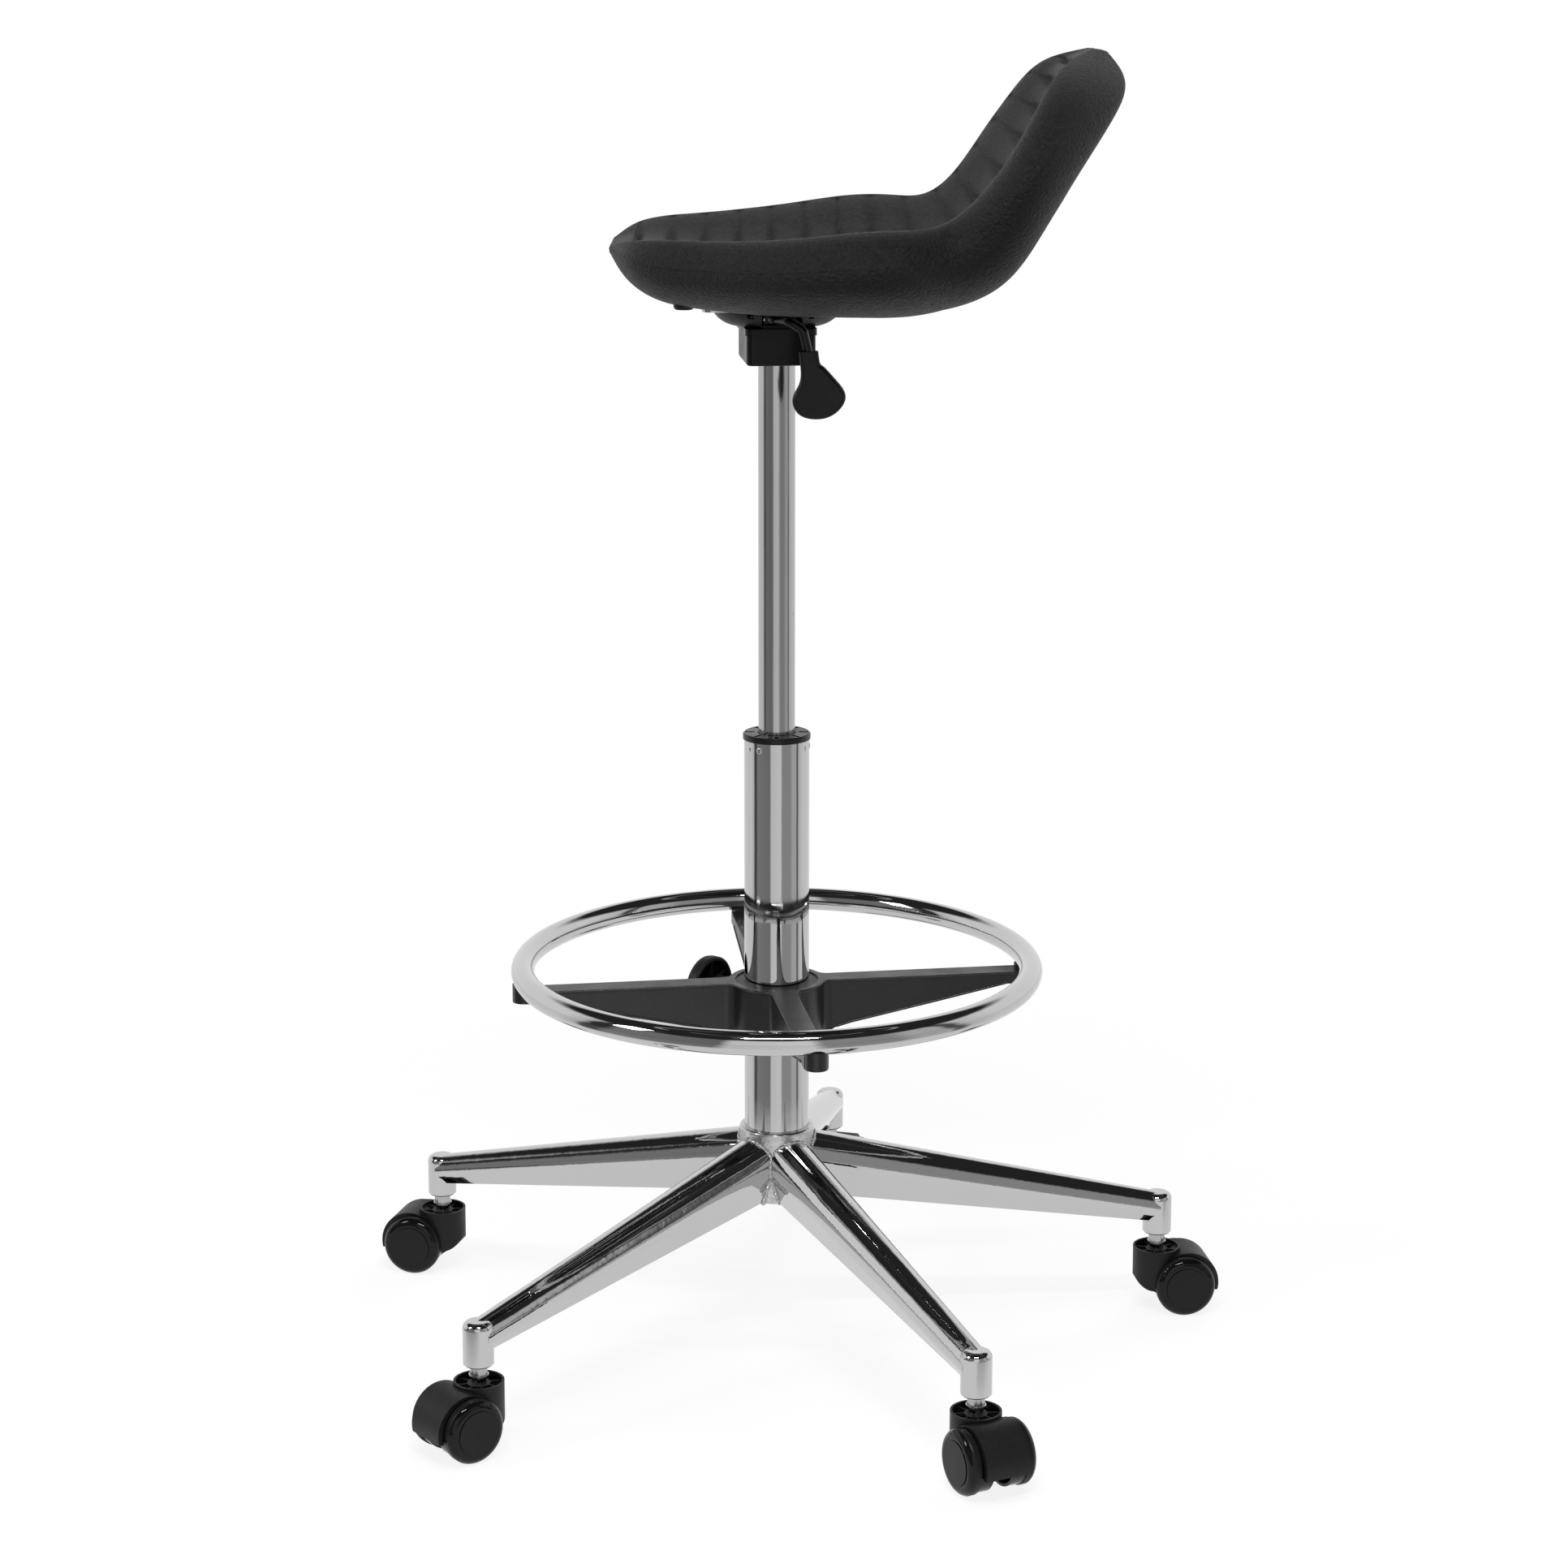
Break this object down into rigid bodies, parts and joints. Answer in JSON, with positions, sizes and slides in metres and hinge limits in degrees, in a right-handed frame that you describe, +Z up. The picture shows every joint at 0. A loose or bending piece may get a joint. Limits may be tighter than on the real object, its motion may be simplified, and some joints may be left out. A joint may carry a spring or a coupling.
{
  "type": "drafting chair",
  "caption": "Height-adjustable drafting chair: low-back bucket seat on a gas column with a clamped foot ring and a five-legged chromed caster base.",
  "frame": {"origin": "centre of the base on the floor, on the column axis", "axes": "+Z up along the column, -Y the way the chair faces, +X the sitter's left"},
  "size_m": [0.6769, 0.6773, 1.0003],
  "materials": {
    "chromed_leg": "mirror chrome plate over welded steel",
    "chromed_tube": "mirror chrome plate",
    "ground_cylinder": "fine ground steel",
    "inner_steel": "plain steel, oiled",
    "bush_plastic": "satin black",
    "bracket_paint": "satin black powder coat",
    "dish_plastic": "satin dark grey",
    "lever_paint": "satin black",
    "grip_plastic": "satin black",
    "spider_plastic": "fine-grained satin black",
    "guide_plastic": "smooth black nylon",
    "seat_foam": "self-skinned polyurethane foam, leather grain, satin black",
    "hood_plastic": "fine matte black nylon",
    "wheel_plastic": "gloss black nylon"
  },
  "bodies": {
    "base": {"base_hub": "chromed_leg", "base_leg_1": "chromed_leg", "base_leg_2": "chromed_leg", "base_leg_3": "chromed_leg", "base_leg_4": "chromed_leg", "base_leg_5": "chromed_leg", "caster_stems": "inner_steel", "column_tube": "chromed_tube", "column_bush": "bush_plastic"},
    "rod": {"piston_rod": "inner_steel", "rod_clip": "inner_steel", "thrust_bearing": "inner_steel", "gas_piston": "guide_plastic"},
    "seat": {"gas_cylinder": "ground_cylinder", "cylinder_gland": "guide_plastic", "taper_socket": "bracket_paint", "seat_bracket": "bracket_paint", "seat_mount": "bracket_paint", "seat_bolts": "inner_steel", "seat_insert": "inner_steel", "dish_cover": "dish_plastic", "lever_pivot": "inner_steel", "seat_cushion": "seat_foam"},
    "lever": {"lever_rod": "lever_paint", "lever_handle": "grip_plastic"},
    "pin": {"release_pin": "inner_steel"},
    "guides": {"guide_rings": "guide_plastic"},
    "footring": {"footring_spider": "spider_plastic", "foot_ring": "chromed_tube", "ring_studs": "inner_steel"},
    "clamp": {"clamp_pad": "guide_plastic"},
    "knob": {"clamp_stud": "inner_steel", "clamp_knob": "grip_plastic"},
    "caster_1": {"caster_hood_1": "hood_plastic", "caster_axle_1": "inner_steel"},
    "wheel_l_1": {"wheel_left_1": "wheel_plastic"},
    "wheel_r_1": {"wheel_right_1": "wheel_plastic"},
    "caster_2": {"caster_hood_2": "hood_plastic", "caster_axle_2": "inner_steel"},
    "wheel_l_2": {"wheel_left_2": "wheel_plastic"},
    "wheel_r_2": {"wheel_right_2": "wheel_plastic"},
    "caster_3": {"caster_hood_3": "hood_plastic", "caster_axle_3": "inner_steel"},
    "wheel_l_3": {"wheel_left_3": "wheel_plastic"},
    "wheel_r_3": {"wheel_right_3": "wheel_plastic"},
    "caster_4": {"caster_hood_4": "hood_plastic", "caster_axle_4": "inner_steel"},
    "wheel_l_4": {"wheel_left_4": "wheel_plastic"},
    "wheel_r_4": {"wheel_right_4": "wheel_plastic"},
    "caster_5": {"caster_hood_5": "hood_plastic", "caster_axle_5": "inner_steel"},
    "wheel_l_5": {"wheel_left_5": "wheel_plastic"},
    "wheel_r_5": {"wheel_right_5": "wheel_plastic"}
  },
  "joints": [
    {"name": "seat_swivel", "type": "hinge", "parent": "base", "child": "rod", "pos_m": [0, 0, 0.2], "axis": [0, 0, 1], "continuous": true},
    {"name": "seat_lift", "type": "slide", "parent": "rod", "child": "seat", "axis": [0, 0, 1], "range_m": [-0.26, 0]},
    {"name": "height_lever", "type": "hinge", "parent": "seat", "child": "lever", "pos_m": [0.038, 0, 0.8032], "axis": [0, -1, 0], "range_deg": [0, 3.7], "stiffness_Nm_per_rad": 8, "springref_deg": -5.73},
    {"name": "release_pin_press", "type": "slide", "parent": "seat", "child": "pin", "axis": [0, 0, -1], "range_m": [0, 0.0026]},
    {"name": "footring_height", "type": "slide", "parent": "base", "child": "guides", "axis": [0, 0, 1], "range_m": [-0.06, 0.175]},
    {"name": "footring_turn", "type": "hinge", "parent": "guides", "child": "footring", "pos_m": [0, 0, 0.268], "axis": [0, 0, 1], "continuous": true},
    {"name": "clamp_travel", "type": "slide", "parent": "footring", "child": "clamp", "axis": [-0.5962, -0.8028, 0], "range_m": [0, 0.0026]},
    {"name": "clamp_turn", "type": "hinge", "parent": "clamp", "child": "knob", "pos_m": [-0.03995, -0.05379, 0.268], "axis": [-0.5962, -0.8028, 0], "range_deg": [0, 719]},
    {"name": "caster_swivel_1", "type": "hinge", "parent": "base", "child": "caster_1", "pos_m": [0.27312, 0.14151, 0.05], "axis": [0, 0, 1], "continuous": true},
    {"name": "wheel_left_1_roll", "type": "hinge", "parent": "caster_1", "child": "wheel_l_1", "pos_m": [0.29011, 0.15002, 0.0237], "axis": [-0.4478, 0.8942, 0], "continuous": true},
    {"name": "wheel_right_1_roll", "type": "hinge", "parent": "caster_1", "child": "wheel_r_1", "pos_m": [0.29011, 0.15002, 0.0237], "axis": [-0.4478, 0.8942, 0], "continuous": true},
    {"name": "caster_swivel_2", "type": "hinge", "parent": "base", "child": "caster_2", "pos_m": [-0.05019, 0.30348, 0.05], "axis": [0, 0, 1], "continuous": true},
    {"name": "wheel_left_2_roll", "type": "hinge", "parent": "caster_2", "child": "wheel_l_2", "pos_m": [-0.05276, 0.3223, 0.0237], "axis": [-0.9907, -0.1357, 0], "continuous": true},
    {"name": "wheel_right_2_roll", "type": "hinge", "parent": "caster_2", "child": "wheel_r_2", "pos_m": [-0.05276, 0.3223, 0.0237], "axis": [-0.9907, -0.1357, 0], "continuous": true},
    {"name": "caster_swivel_3", "type": "hinge", "parent": "base", "child": "caster_3", "pos_m": [-0.30413, 0.04605, 0.05], "axis": [0, 0, 1], "continuous": true},
    {"name": "wheel_left_3_roll", "type": "hinge", "parent": "caster_3", "child": "wheel_l_3", "pos_m": [-0.32249, 0.05097, 0.0237], "axis": [-0.2588, -0.9659, 0], "continuous": true},
    {"name": "wheel_right_3_roll", "type": "hinge", "parent": "caster_3", "child": "wheel_r_3", "pos_m": [-0.32249, 0.05097, 0.0237], "axis": [-0.2588, -0.9659, 0], "continuous": true},
    {"name": "caster_swivel_4", "type": "hinge", "parent": "base", "child": "caster_4", "pos_m": [-0.13778, -0.27502, 0.05], "axis": [0, 0, 1], "continuous": true},
    {"name": "wheel_left_4_roll", "type": "hinge", "parent": "caster_4", "child": "wheel_l_4", "pos_m": [-0.14279, -0.29334, 0.0237], "axis": [0.9646, -0.2639, 0], "continuous": true},
    {"name": "wheel_right_4_roll", "type": "hinge", "parent": "caster_4", "child": "wheel_r_4", "pos_m": [-0.14279, -0.29334, 0.0237], "axis": [0.9646, -0.2639, 0], "continuous": true},
    {"name": "caster_swivel_5", "type": "hinge", "parent": "base", "child": "caster_5", "pos_m": [0.21898, -0.21602, 0.05], "axis": [0, 0, 1], "continuous": true},
    {"name": "wheel_left_5_roll", "type": "hinge", "parent": "caster_5", "child": "wheel_l_5", "pos_m": [0.23081, -0.23089, 0.0237], "axis": [0.7826, 0.6225, 0], "continuous": true},
    {"name": "wheel_right_5_roll", "type": "hinge", "parent": "caster_5", "child": "wheel_r_5", "pos_m": [0.23081, -0.23089, 0.0237], "axis": [0.7826, 0.6225, 0], "continuous": true}
  ],
  "couplings": [
    {"joint": "release_pin_press", "follows": "height_lever", "m_per_rad": 0.038},
    {"joint": "clamp_travel", "follows": "clamp_turn", "m_per_rad": 0.000199}
  ]
}
